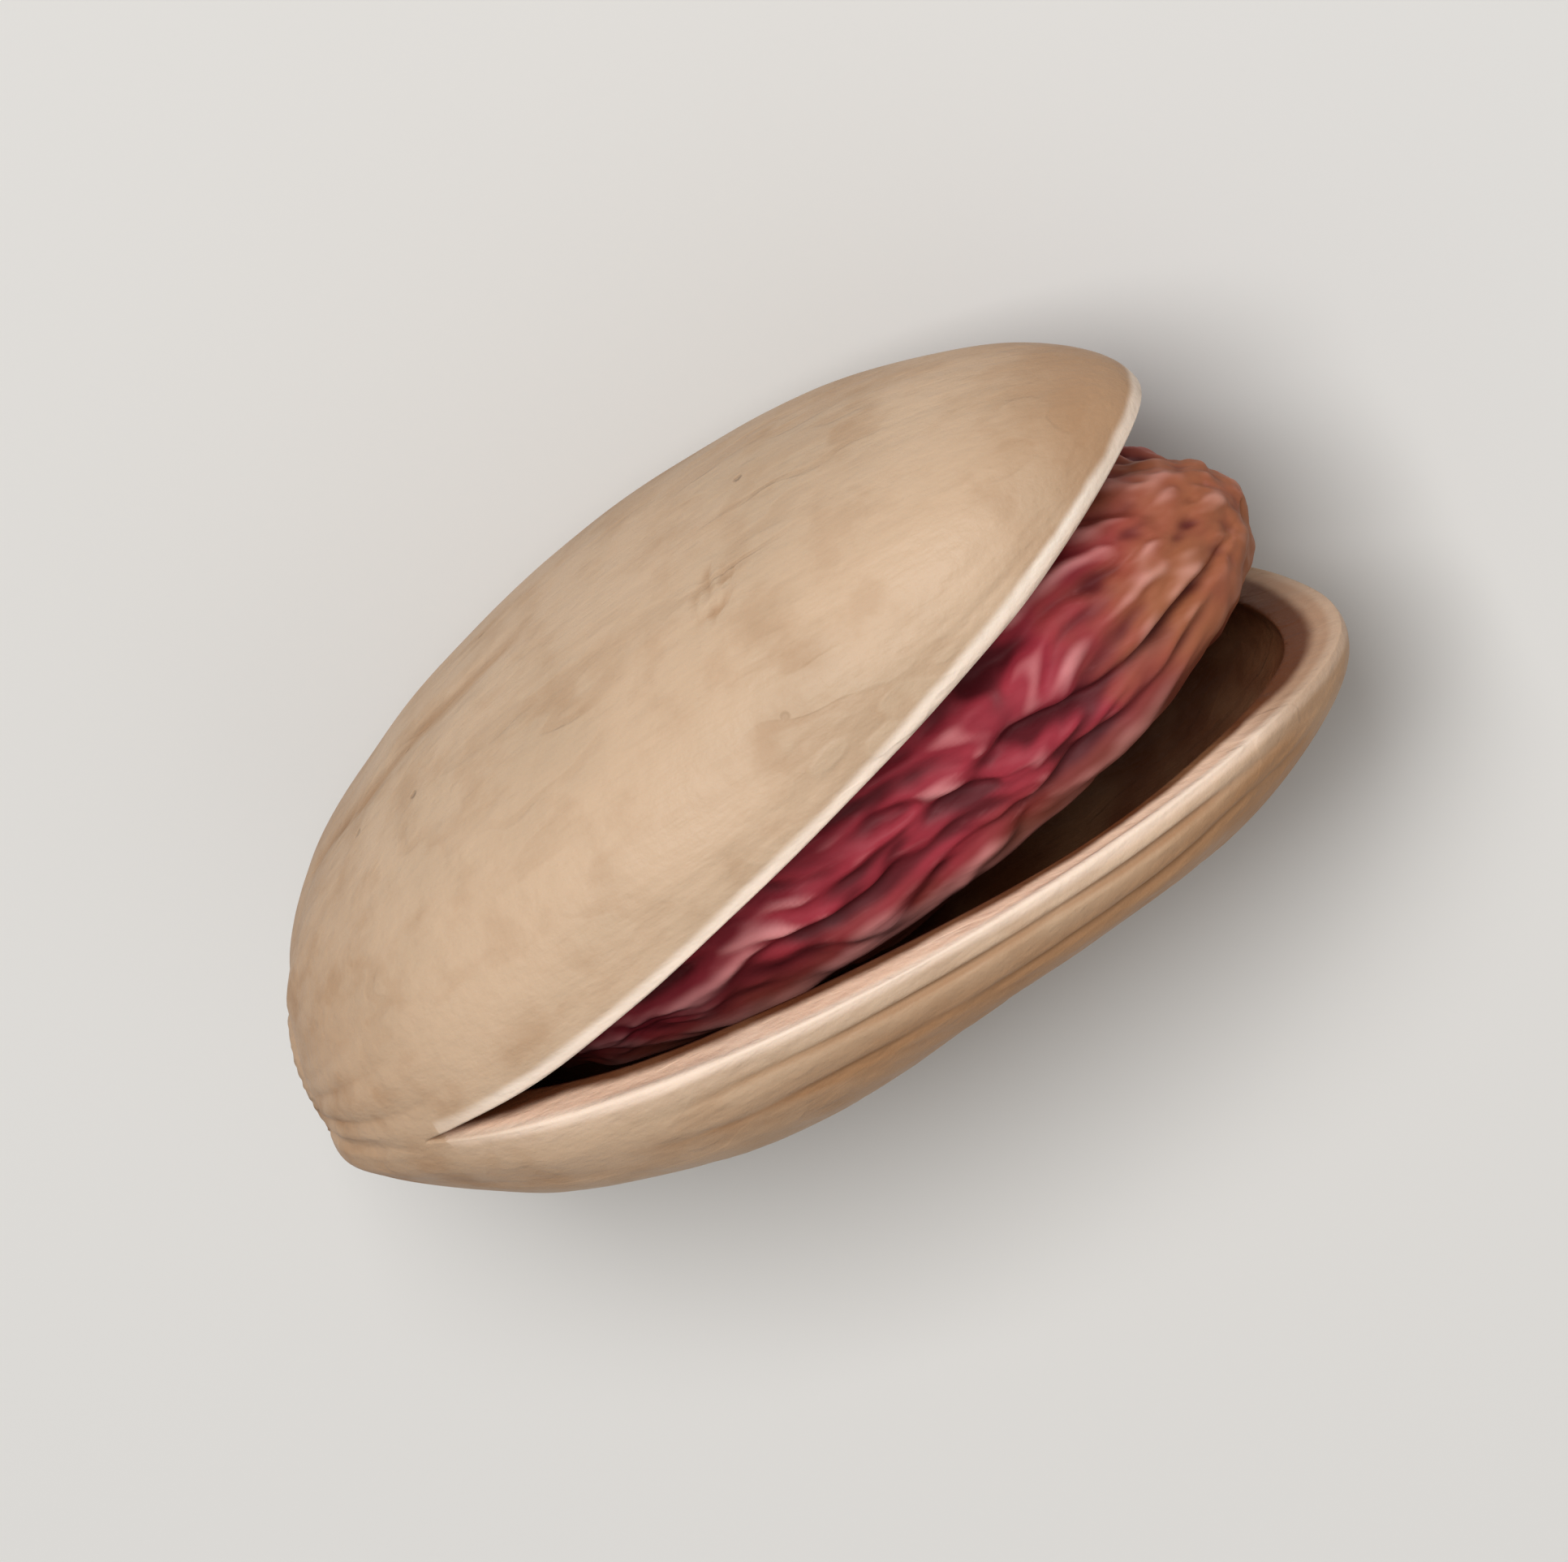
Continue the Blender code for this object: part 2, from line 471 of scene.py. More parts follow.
def cut_split(sizes, shell):
    """Parts the closed nut's edges along the split side, round the tips and some way down the back."""
    mesh = shell.data
    places = get_places(mesh)
    along = places[:, 0] / sizes.length
    on_suture = np.abs(places[:, 1]) < ON_SUTURE
    on_back = places[:, 2] < 0.0
    start = np.where(on_back, sizes.back_split_start, sizes.split_start)
    open_there = on_suture & (along > start - 0.5 / SHELL_RINGS)
    ends = edge_ends(mesh)
    select_edges(shell, np.flatnonzero(open_there[ends].all(axis=1)))
    bpy.ops.mesh.edge_split(type="EDGE")
    bpy.ops.object.mode_set(mode="OBJECT")


# How sharp the rim's two edges stay when the shell is rounded off.
RIM_CREASES = {"edge_crease_outer": 0.7, "edge_crease_inner": 0.45}


def add_wall(sizes, shell):
    """Gives the bent skin its wall, with the cavity's own shape, and rounds the rim between them."""
    mesh = shell.data
    side = sides_of(mesh)
    along, angle = shell_coordinates(sizes, mesh)
    count = len(mesh.vertices)
    apply_modifier(shell, "SOLIDIFY", thickness=sizes.wall, offset=-1.0, **RIM_CREASES)
    mesh = shell.data
    if len(mesh.vertices) != 2 * count:
        raise RuntimeError("the wall has points of its own")
    outside = skin_places(sizes, along, angle, side, 0)
    cavity = skin_places(sizes, along, angle, side, 1)
    places = np.concatenate([bend_open(sizes, outside, side), bend_open(sizes, cavity, side)])
    set_places(mesh, places)
    depth = np.repeat([0.0, 1.0], count)
    set_numbers(mesh, "depth", depth)
    ends = edge_ends(mesh)
    rungs = np.flatnonzero(depth[ends[:, 0]] != depth[ends[:, 1]])
    select_edges(shell, rungs)
    bpy.ops.mesh.subdivide(number_cuts=2)
    bpy.ops.object.mode_set(mode="OBJECT")


def nut_coordinates(sizes, places):
    """Share of the length, angle from the split side, side, and distance to the suture in mm.

    The angle and the distance are those that a point had before the valves bent open.
    """
    side = np.sign(places[:, 1])
    closed_y = np.maximum(0.0, np.abs(places[:, 1]) - opening(sizes, places[:, 0], places[:, 2]))
    along = np.clip(places[:, 0] / sizes.length, 0.0, 1.0)
    angle = section_angle(sizes, closed_y, places[:, 2])
    return along, angle, side, closed_y / MM


# The grooves beside the split: distance from it, width and depth in mm, and how each one wavers.
RIM_GROOVES = ((0.62, 0.09, 0.16, 2.0), (1.45, 0.10, 0.15, 5.0))

# A small blemish on the upper valve: where it is, as a share of the length and as an angle from the
# split side, what a whole length and a radian come to there in mm, and its width and depth in mm.
BLEMISH_ALONG = 0.61
BLEMISH_TURN = 1.27
BLEMISH_SPAN = (19.0, 3.6)
BLEMISH_WIDTH = 0.50
BLEMISH_DEPTH = 0.13

# The scar of the stalk, in mm: its radius, its slope, and which way it slopes down in y and z.
SCAR_RADIUS = 1.12
SCAR_SLOPE = 0.16
SCAR_DOWNHILL = (-0.88, 0.47)

# A distance from the rim in mm at which nothing of the rim shows, for where there is no rim.
NO_RIM = 9.0


# The next functions, as far as shoulder_line, each give one kind of relief, as heights in mm.


def long_lines(around, angle, breadth, lower):
    """Fine lines that run the length of the nut, deeper by the lower valve's rim."""
    streak_place = around * np.array([1.0, 1.0, 0.28])
    streaks = ridges(streak_place, 4.6, 1.7) - 0.5
    fine_streaks = ridges(streak_place, 9.5, 5.2) - 0.5
    near_rim = bump(angle, 0.7) * lower
    spread = ramp(breadth, 0.1, 0.6)
    return spread * ((0.012 + 0.03 * near_rim) * streaks + 0.008 * fine_streaks)


def stem_furrows(around, along):
    """Furrows that fan out from the stem end."""
    fan = ridges(around * np.array([1.0, 1.0, 0.8]), 2.9, 11.3) - 0.45
    return 0.16 * fan * bump(along, 0.13) * ramp(along, 0.008, 0.03)


def rim_grooves(in_mm, along, from_suture, breadth, lower):
    """Grooves beside the split, deeper in the lower valve, which draw together at the tips."""
    grooves = np.zeros(len(in_mm))
    for place, width, depth, waver in RIM_GROOVES:
        path = place * (0.38 + 0.62 * breadth) + 0.10 * smooth_noise(in_mm, 0.35, waver)
        worn = 0.6 + 0.8 * smooth_noise(in_mm, 0.4, waver + 3.0)
        grooves -= depth * np.clip(worn, 0.1, 1.0) * bump(from_suture - path, width)
    on_split_side = np.where(in_mm[:, 2] > 0.0, 1.0, 0.0)
    return grooves * on_split_side * (0.12 + 0.88 * lower) * plateau(along, 0.25, 0.55, 0.84, 0.96)


def flank_wrinkles(along, angle, turn, lower):
    """Slanting wrinkles on the lower flank."""
    slant = np.stack([1.3 * along, 1.6 * turn + 3.6 * along, 0.3 * turn], axis=1)
    wrinkled = lower * bump(angle - 0.85, 0.55) * plateau(along, 0.08, 0.3, 0.85, 1.0)
    return 0.07 * wrinkled * np.minimum(0.0, ridges(slant, 2.6, 6.4) - 0.55)


def seams(along, angle):
    """A low ridge along the seam of the back, and a fine line where the split hasn't reached."""
    back = 0.09 * bump(math.pi - angle, 0.16) - 0.07 * bump(math.pi - angle, 0.035)
    unsplit = 0.10 * bump(angle, 0.05) * (1.0 - ramp(along, 0.05, 0.1))
    return back * plateau(along, 0.02, 0.1, 0.86, 0.97) - unsplit


def shoulder_line(in_mm, along, turn):
    """A faint curved line on the upper valve's shoulder."""
    path = 1.72 + 4.0 * (along - 0.27) ** 2 + 0.05 * smooth_noise(in_mm, 0.5, 8.8)
    return -0.085 * bump(turn - path, 0.036) * plateau(along, 0.07, 0.14, 0.33, 0.47)


def blemish_share(in_mm, along, turn):
    """How much of the blemish there is at each point, as a share of its depth. It is rough inside."""
    span_along, span_round = BLEMISH_SPAN
    distance = np.hypot((along - BLEMISH_ALONG) * span_along, (turn - BLEMISH_TURN) * span_round)
    return bump(distance, BLEMISH_WIDTH) * (0.25 + 1.4 * smooth_noise(in_mm, 4.2, 0.4))


def stalk_scar(in_mm, around, downhill):
    """Where the scar's face lies in x, how far a point is in the scar, its moat and its pit, in mm.

    It is a slanting disc with a raised edge, a moat round it and a pit in the middle.
    """
    y, z = in_mm[:, 1], in_mm[:, 2]
    radius = np.hypot(y, z)
    edge = SCAR_RADIUS + 0.22 * smooth_noise(around, 1.6, 8.0) + 0.05 * smooth_noise(around, 6.0, 3.0)
    face = -0.02 - SCAR_SLOPE * downhill + 0.05 * smooth_noise(in_mm, 1.1, 6.0)
    face -= 0.04 * bump(radius - edge, 0.14)
    inside = 1.0 - ramp(radius - edge, -0.02, 0.16)
    moat = (0.09 + 0.10 * smooth_noise(around, 2.6, 1.0)) * bump(radius - edge - 0.3, 0.17)
    pit = 0.28 * bump(np.hypot(y - 0.12, z + 0.08), 0.17)
    pit += 0.07 * np.maximum(0.0, smooth_noise(in_mm, 2.4, 2.2)) * bump(radius, 0.9)
    return face, inside, moat, pit


def carve_shell(sizes, shell):
    """Works the lines, furrows, grooves, seams and the stalk's scar into the shell. Heights are in mm."""
    mesh = shell.data
    places = get_places(mesh)
    normals = get_normals(mesh)
    along, angle, side, from_suture = nut_coordinates(sizes, places)
    outside = 1.0 - ramp(get_numbers(mesh, "depth"), 0.0, 0.35)
    in_mm = places / MM
    turn = side * angle
    around = np.stack([np.cos(turn), np.sin(turn), along], axis=1)
    breadth = shell_breadth(along)
    lower = np.where(side < 0.0, 1.0, 0.0)

    lines = long_lines(around, angle, breadth, lower)
    furrows = stem_furrows(around, along)
    grooves = rim_grooves(in_mm, along, from_suture, breadth, lower)
    grooves += flank_wrinkles(along, angle, turn, lower)
    shoulder = shoulder_line(in_mm, along, turn)
    blemish = blemish_share(in_mm, along, turn)
    uneven = 0.13 * smooth_noise(in_mm, 0.16, 3.1) + 0.05 * smooth_noise(in_mm, 0.42, 7.7)
    flatter = 0.50 * lower * bump(along - 0.63, 0.14) * bump(angle - 1.05, 0.5)
    height = uneven + lines + furrows + grooves + seams(along, angle) + shoulder
    height -= flatter + BLEMISH_DEPTH * blemish
    inner_height = -0.08 * smooth_noise(in_mm, 0.3, 4.4)
    moved = places + normals * ((outside * height + (1.0 - outside) * inner_height) * MM)[:, None]

    # The stem end: the scar, and the shell's swelling beside it, under the start of the split.
    down_y, down_z = SCAR_DOWNHILL
    downhill = down_y * in_mm[:, 1] + down_z * in_mm[:, 2]
    level = down_z * in_mm[:, 1] - down_y * in_mm[:, 2]
    face, inside_scar, moat, pit = stalk_scar(in_mm, around, downhill)
    swelling = 0.40 * outside * bump(downhill - 1.6, 0.95) * bump(level - 0.8, 2.0)
    swelling *= 1.0 - ramp(along, 0.02, 0.13)
    at_stem = outside * (along < 0.1)
    moved[:, 0] -= swelling * (1.0 - inside_scar) * MM
    scar_x = (1.0 - inside_scar) * moved[:, 0] + inside_scar * face * MM
    moved[:, 0] += at_stem * (scar_x - moved[:, 0] + (pit + moat) * MM)
    set_places(mesh, moved)

    # What the material reads. A hollow counts as 1 where it is deep enough to be fully stained and
    # painted in shade.
    split_open = ramp(along, sizes.split_start - 0.01, sizes.split_start + 0.03)
    back_open = ramp(along, sizes.back_split_start, sizes.back_split_start + 0.06)
    is_open = np.where(places[:, 2] > 0.0, split_open, back_open)
    hollow = at_stem * (2.0 * moat + 3.0 * pit) + 0.95 * np.maximum(0.0, blemish)
    hollow -= 4.0 * furrows + 8.0 * lines + 8.0 * grooves + 7.5 * shoulder
    set_numbers(mesh, "rim_distance", from_suture + NO_RIM * (1.0 - is_open))
    set_numbers(mesh, "hollow", np.clip(outside * hollow, -1.0, 1.0))
    set_numbers(mesh, "along", along)
    set_numbers(mesh, "turn", turn)
    set_numbers(mesh, "valve", side)


def put_in_frame(sizes, piece, flat_spot):
    """Lays the piece down where the frame has it, and flattens what would reach under the floor."""
    places = lay_down(sizes, get_places(piece.data)) + frame_shift(sizes)
    if flat_spot:
        depth = get_numbers(piece.data, "depth")
        under = (depth < 0.5) & (places[:, 2] < 0.0)
        places[under, 2] = 0.0
    set_places(piece.data, places)


class PISTACHIO_OT_add_shell(bpy.types.Operator):
    """Adds the shell: a ball drawn out, cut open along its suture, bent apart and given its wall"""

    bl_idname = "pistachio.add_shell"
    bl_label = "Add Shell"

    def execute(self, context):
        sizes = context.scene.nut_sizes
        shell = add_ball("split_shell", SHELL_SEGMENTS, SHELL_RINGS)
        shape_closed_shell(sizes, shell)
        cut_split(sizes, shell)
        add_wall(sizes, shell)
        divide(shell)
        carve_shell(sizes, shell)
        put_in_frame(sizes, shell, flat_spot=True)
        finish_piece(shell, "shell", shell_material(context.scene.nut_colours))
        return {"FINISHED"}


# ---------------------------------------------------------------- the kernel


def shape_kernel(sizes, kernel):
    """Draws the ball out into the plain kernel, blunter at its far end than along its back."""
    ball = get_places(kernel.data)
    along = (1.0 + ball[:, 0]) / 2.0
    turn = np.arctan2(ball[:, 1], ball[:, 2])
    blunt = egg(along, KERNEL_STEM_POWER, KERNEL_TIP_POWER)
    tapered = egg(along, KERNEL_STEM_POWER, TIP_POWER)
    split_side = sizes.kernel_split_side * blunt
    half = np.where(np.cos(turn) > 0.0, split_side, sizes.kernel_back_side * tapered)
    x = (sizes.kernel_end - sizes.kernel_start) * along
    y = x * math.tan(sizes.kernel_turn) + sizes.kernel_half * blunt * np.sin(turn)
    set_places(kernel.data, np.stack([sizes.kernel_start + x, y, half * np.cos(turn)], axis=1))


def crease(along, turn, start, end, width):
    """A crease of depth 1 that runs between two points, wavers a little and fades at its ends."""
    run = end[0] - start[0]
    share = (along - start[0]) / run
    path = start[1] + (end[1] - start[1]) * share + 0.06 * np.sin(9.0 * share + 3.0 * start[1])
    return plateau(share, 0.0, 0.25, 0.75, 1.0) * bump(turn - path, width)


# The creases: where each starts and ends, as shares of the length and angles from the split side, its
# width as an angle and its depth in mm.
CREASES = (
    ((0.64, 0.02), (1.0, -0.10), 0.085, 0.42),
    ((0.66, 0.55), (0.92, 0.62), 0.09, 0.24),
    ((0.60, 0.95), (0.90, 1.05), 0.10, 0.26),
    ((0.50, 0.10), (0.80, -0.02), 0.08, 0.26),
    ((0.36, 0.50), (0.66, 0.36), 0.08, 0.26),
    ((0.18, 0.15), (0.52, 0.30), 0.08, 0.26),
    ((0.30, -0.30), (0.60, -0.18), 0.08, 0.22),
    ((0.60, -0.55), (0.96, -0.30), 0.09, 0.26),
    ((0.24, -0.85), (0.70, -0.75), 0.11, 0.20),
    ((0.15, 1.25), (0.80, 1.05), 0.12, 0.26),
    ((0.30, -1.55), (0.90, -1.40), 0.12, 0.26),
    ((0.20, 2.20), (0.85, 2.35), 0.12, 0.28),
    ((0.25, -2.45), (0.80, -2.30), 0.12, 0.28),
)


def carve_kernel(sizes, kernel):
    """Works lengthwise folds, creases and small wrinkles into the kernel's skin."""
    mesh = kernel.data
    places = get_places(mesh)
    normals = get_normals(mesh)
    from_start = places[:, 0] - sizes.kernel_start
    along = np.clip(from_start / (sizes.kernel_end - sizes.kernel_start), 0.0, 1.0)
    middle = from_start * math.tan(sizes.kernel_turn)
    across = (places[:, 1] - middle) / sizes.kernel_half
    turn = np.arctan2(across, places[:, 2] / sizes.kernel_split_side)
    in_mm = places / MM
    sway = [np.zeros(len(in_mm)), smooth_noise(in_mm, 0.3, 2.0), smooth_noise(in_mm, 0.3, 6.0)]
    swayed = in_mm + 0.8 * np.stack(sway, axis=1)
    folds = ridges(swayed * np.array([0.28, 1.0, 1.0]), 0.75, 2.5) - 0.5
    wrinkles = smooth_noise(swayed * np.array([0.18, 1.0, 1.0]), 2.2, 9.1)
    puckers = smooth_noise(swayed * np.array([0.30, 1.0, 1.0]), 4.8, 4.3)
    creases = np.zeros(len(places))
    for start, end, width, depth in CREASES:
        creases += depth * crease(along, turn, start, end, width)
    flank = plateau(-turn, 0.2, 0.9, 1.6, 2.2)
    calm = (1.0 - 0.45 * flank) * (1.0 - 0.4 * ramp(along, 0.76, 0.97))
    slimmer = 0.42 * bump(turn + 1.15, 0.5) * bump(along - 0.70, 0.24)
    keel = bump(turn + 0.50 - 0.05 * swayed[:, 1], 0.10) * plateau(along, 0.12, 0.3, 0.6, 0.78)
    height = calm * (0.18 * folds + 0.28 * wrinkles + 0.07 * puckers) + 0.10 * keel - creases - slimmer
    set_places(mesh, places + normals * (height * MM)[:, None])

    # What the material reads. A fold is 0 in a deep crease, 0.5 on plain skin and 1 on a high ridge.
    # From the fold, the material paints shade in the creases and highlights on the ridges and the keel.
    fold = 0.5 + calm * (0.20 * folds + 0.75 * wrinkles + 0.28 * puckers) + 0.40 * keel - 1.3 * creases
    set_numbers(mesh, "fold", np.clip(fold, 0.0, 1.0))
    set_numbers(mesh, "along", along)
    set_numbers(mesh, "turn", turn)


class PISTACHIO_OT_add_kernel(bpy.types.Operator):
    """Adds the kernel: a ball drawn out and wrinkled, in its purple-red skin"""

    bl_idname = "pistachio.add_kernel"
    bl_label = "Add Kernel"

    def execute(self, context):
        sizes = context.scene.nut_sizes
        kernel = add_ball("kernel_in_skin", KERNEL_SEGMENTS, KERNEL_RINGS)
        shape_kernel(sizes, kernel)
        divide(kernel)
        carve_kernel(sizes, kernel)
        put_in_frame(sizes, kernel, flat_spot=False)
        finish_piece(kernel, "kernel", kernel_material(context.scene.nut_colours))
        return {"FINISHED"}


# ---------------------------------------------------------------- materials


# A Mix node has inputs and outputs of the same names for each kind of data. These are the colours.
MIX_FIRST, MIX_SECOND = 6, 7
MIX_RESULT = 2

# Stretches of patterns, in x, y and z. Below 1 makes a pattern longer that way.
EVEN = (1.0, 1.0, 1.0)
LENGTHWISE = (0.16, 1.0, 1.0)
CLOUD_ROUGHNESS = 0.55


class Value:
    """A socket whose value varies over a surface. Sums and products of values add Math nodes."""

    def __init__(self, paint, socket):
        self.paint = paint
        self.socket = socket

    def maths(self, operation, first, second, clamp=False):
        settings = {"operation": operation, "use_clamp": clamp}
        return self.paint.node("ShaderNodeMath", settings, {0: first, 1: second})

    def __add__(self, other):
        return self.maths("ADD", self, other)

    def __sub__(self, other):
        return self.maths("SUBTRACT", self, other)

    def __rsub__(self, other):
        return self.maths("SUBTRACT", other, self)

    def __mul__(self, other):
        return self.maths("MULTIPLY", self, other)

    __radd__ = __add__
    __rmul__ = __mul__

    def clamped(self):
        """The value, kept from 0 to 1."""
        return self.maths("ADD", self, 0.0, clamp=True)


class Paint:
    """Builds the nodes of one material."""

    def __init__(self, name):
        self.material = bpy.data.materials.new(name)
        self.material.use_nodes = True
        self.tree = self.material.node_tree
        self.surface = self.tree.nodes["Principled BSDF"]

    def node(self, kind, settings, inputs, output=0):
        """Adds a node, sets it up, feeds its sockets and gives one of its outputs."""
        made = self.tree.nodes.new(kind)
        for name, value in settings.items():
            setattr(made, name, value)
        for key, value in inputs.items():
            self.feed(made.inputs[key], value)
        return Value(self, made.outputs[output])

    def feed(self, socket, value):
        if isinstance(value, Value):
            self.tree.links.new(value.socket, socket)
        elif hasattr(socket.default_value, "__len__") and len(socket.default_value) == 4:
            socket.default_value = (*value, 1.0)
        else:
            socket.default_value = value

    def set(self, **inputs):
        """Feeds sockets of the surface itself, named with _ for each space."""
        for name, value in inputs.items():
            self.feed(self.surface.inputs[name.replace("_", " ")], value)

    def attribute(self, name):
        return self.node("ShaderNodeAttribute", {"attribute_name": name}, {}, "Fac")

    def place(self, stretch):
        """Object coordinates, stretched for patterns that are longer one way."""
        spot = self.node("ShaderNodeTexCoord", {}, {}, "Object")
        return self.node("ShaderNodeMapping", {}, {"Vector": spot, "Scale": stretch})

    def clouds(self, scale, detail, stretch=EVEN):
        """Soft noise about 0.5."""
        inputs = {"Vector": self.place(stretch), "Scale": scale, "Detail": detail}
        inputs["Roughness"] = CLOUD_ROUGHNESS
        return self.node("ShaderNodeTexNoise", {}, inputs)

    def cells(self, scale):
        """Distance to the nearest of many scattered points."""
        inputs = {"Vector": self.place(EVEN), "Scale": scale}
        return self.node("ShaderNodeTexVoronoi", {}, inputs, "Distance")

    def step(self, value, low, high):
        """0 where the value is at low and 1 where it is at high, with a smooth step between."""
        settings = {"interpolation_type": "SMOOTHSTEP"}
        inputs = {"Value": value, "From Min": low, "From Max": high}
        return self.node("ShaderNodeMapRange", settings, inputs)

    def mix(self, share, first, second):
        """Blends two colours."""
        inputs = {"Factor": share, MIX_FIRST: first, MIX_SECOND: second}
        return self.node("ShaderNodeMix", {"data_type": "RGBA"}, inputs, MIX_RESULT)

    def bump(self, height, distance, strength):
        """Fine relief, in which a height of 1 stands this distance in metres proud."""
        inputs = {"Height": height, "Distance": distance, "Strength": strength}
        return self.node("ShaderNodeBump", {}, inputs)


def blend(share, first, second):
    """A plain colour between two others."""
    return tuple(start + (end - start) * share for start, end in zip(first, second))


def shell_material(colours):
    """Cream-tan shell, dull in patches, warm in its furrows with stain and painted shade, with a pale rim
    and a brown cavity.
    """
    paint = Paint("pistachio_shell")
    along = paint.attribute("along")
    turn = paint.attribute("turn")
    hollow = paint.attribute("hollow")
    depth = paint.attribute("depth")
    from_rim = paint.attribute("rim_distance")
    patches = paint.clouds(210.0, 3.0)
    mottle = paint.clouds(900.0, 4.0)
    fibres = paint.clouds(1500.0, 4.0, LENGTHWISE)
    fine_fibres = paint.clouds(5200.0, 2.0, LENGTHWISE)
    veins = paint.clouds(700.0, 2.0, (0.4, 1.0, 1.0))
    veins = paint.step(veins * (1.0 - veins), 0.2465, 0.2495) * paint.step(patches, 0.42, 0.6)

    # Where on the shell. The tip's end is evened out, as the near and the far rim meet there.
    stem = paint.step(along, 0.24, 0.0)
    tips = paint.step(along, 0.84, 0.975)
    tip_end = paint.step(along, 0.90, 0.96)
    before_end = 1.0 - tip_end
    split_side = paint.step(turn * turn, 5.0, 1.6) * before_end + tip_end * 0.5
    far_side = 1.0 - split_side
    upper = paint.step(turn, -0.1, 0.1) * before_end + (paint.attribute("valve") * 0.25 + 0.75) * tip_end
    lower = 1.0 - upper

    # The outside: dull patches; at both ends, on the flanks and in the hollows, warm stain and painted
    # shade.
    body = paint.mix(paint.step(patches, 0.40, 0.64) * 0.8, colours.shell, colours.shell_grey)
    tint = paint.step(mottle, 0.48, 0.70) * 0.19 + paint.step(fibres, 0.52, 0.75) * 0.16 + veins * 0.18
    body = paint.mix(tint, body, colours.shell_stain_and_shade)
    # Painted shade: the lower flank is darker, the more so towards the tips, and the upper valve's back
    # is darker too.
    flank = paint.step(turn, -0.02, -0.36) * (0.82 - paint.step(turn, -1.7, -2.7) * 0.44)
    flank = flank * (0.40 + paint.step(along, 0.22, 0.60) * 0.72)
    # Partly stain and partly painted shade at the stem end and the tips.
    ends = stem * 0.38 + paint.step(along, 0.80, 0.98) * 0.36
    flank_stain_and_shade = (paint.step(turn, 1.6, 2.5) * 0.34 + flank) * before_end + tip_end * 0.36
    # Stain and painted shade in the hollows, and stains at the stem end.
    hollow_stain_and_shade = paint.step(hollow, 0.05, 0.65) * 0.52 + stem * paint.step(mottle, 0.45, 0.7) * 0.30
    body = paint.mix((ends + flank_stain_and_shade + hollow_stain_and_shade).clamped(), body, colours.shell_stain_and_shade)
    specks = paint.step(paint.cells(900.0), 0.10, 0.03) * paint.step(paint.clouds(420.0, 2.0), 0.55, 0.66)
    body = paint.mix(specks * 0.4, body, colours.speck_and_shade)

    # The rim's outer edge, worn pale, and painted shade on the lower valve's far side.
    edge = paint.step(from_rim + (fibres - 0.5) * 0.14 - upper * 0.09, 0.25, 0.07)
    soft_edge = paint.step(from_rim, 0.62, 0.25) * lower * 0.20
    started = paint.step(along, 0.085, 0.14) * 0.3 + paint.step(along, 0.1, 0.24) * 0.7
    worn = edge * (0.10 + upper * 0.12 + split_side * (0.34 + upper * 0.44))
    worn = (worn + soft_edge * split_side) * started
    worn = (worn * (1.0 - tips * lower * 0.7)).clamped()
    body = paint.mix(worn, body, paint.mix(upper * 0.75 + 0.25, colours.rim, colours.lip))
    # Painted shade on the lower valve's far rim towards the tip.
    far_rim_shade = far_side * lower * paint.step(along, 0.5, 0.75) * paint.step(from_rim, 0.9, 0.2)
    body = paint.mix(far_rim_shade * 0.75, body, colours.speck_and_shade)

    # The wall between the edges, partly in painted shade, and the cavity, painted dark as shade.
    wall = paint.step(depth, 0.10, 0.28) * paint.step(depth, 0.97, 0.80)
    # On the far side and at the tips, the wall is painted dark as shade rather than in the rim's colour.
    pale = split_side * (1.0 - tips) + tips * 0.25
    wall_colour_and_shade = paint.mix(pale, blend(0.4, colours.shell_stain_and_shade, colours.cavity), colours.rim)
    body = paint.mix(wall * (1.0 - paint.step(fibres, 0.45, 0.75) * 0.35), body, wall_colour_and_shade)
    # Painted shade: the cavity's dark colour reaches higher up the wall near the stem and on the far side
    # by the tips.
    cavity_shade_reach = far_side * paint.step(along, 0.6, 0.85) * 0.28 + paint.step(along, 0.26, 0.12) * 0.45
    inside = paint.step(depth + cavity_shade_reach + (mottle - 0.5) * 0.2, 0.52, 0.80)
    cavity_stains = paint.step(paint.clouds(500.0, 3.0), 0.4, 0.7) * 0.3
    body = paint.mix(inside, body, paint.mix(cavity_stains, colours.cavity, colours.shell_stain_and_shade))

    grain = fibres * 0.5 + fine_fibres * 0.25 + paint.clouds(2600.0, 4.0) * 0.5
    relief = paint.bump(grain - specks * 0.6 - veins * 0.15, 0.00012, 0.7)
    rough = 0.50 + paint.step(mottle, 0.35, 0.7) * 0.14 + paint.step(hollow, 0.1, 0.8) * 0.15
    paint.set(Base_Color=body, Roughness=rough, Normal=relief, Specular_IOR_Level=0.33)
    paint.set(Subsurface_Weight=0.06, Subsurface_Radius=(0.6, 0.35, 0.2), Subsurface_Scale=0.0008)
    return paint.material


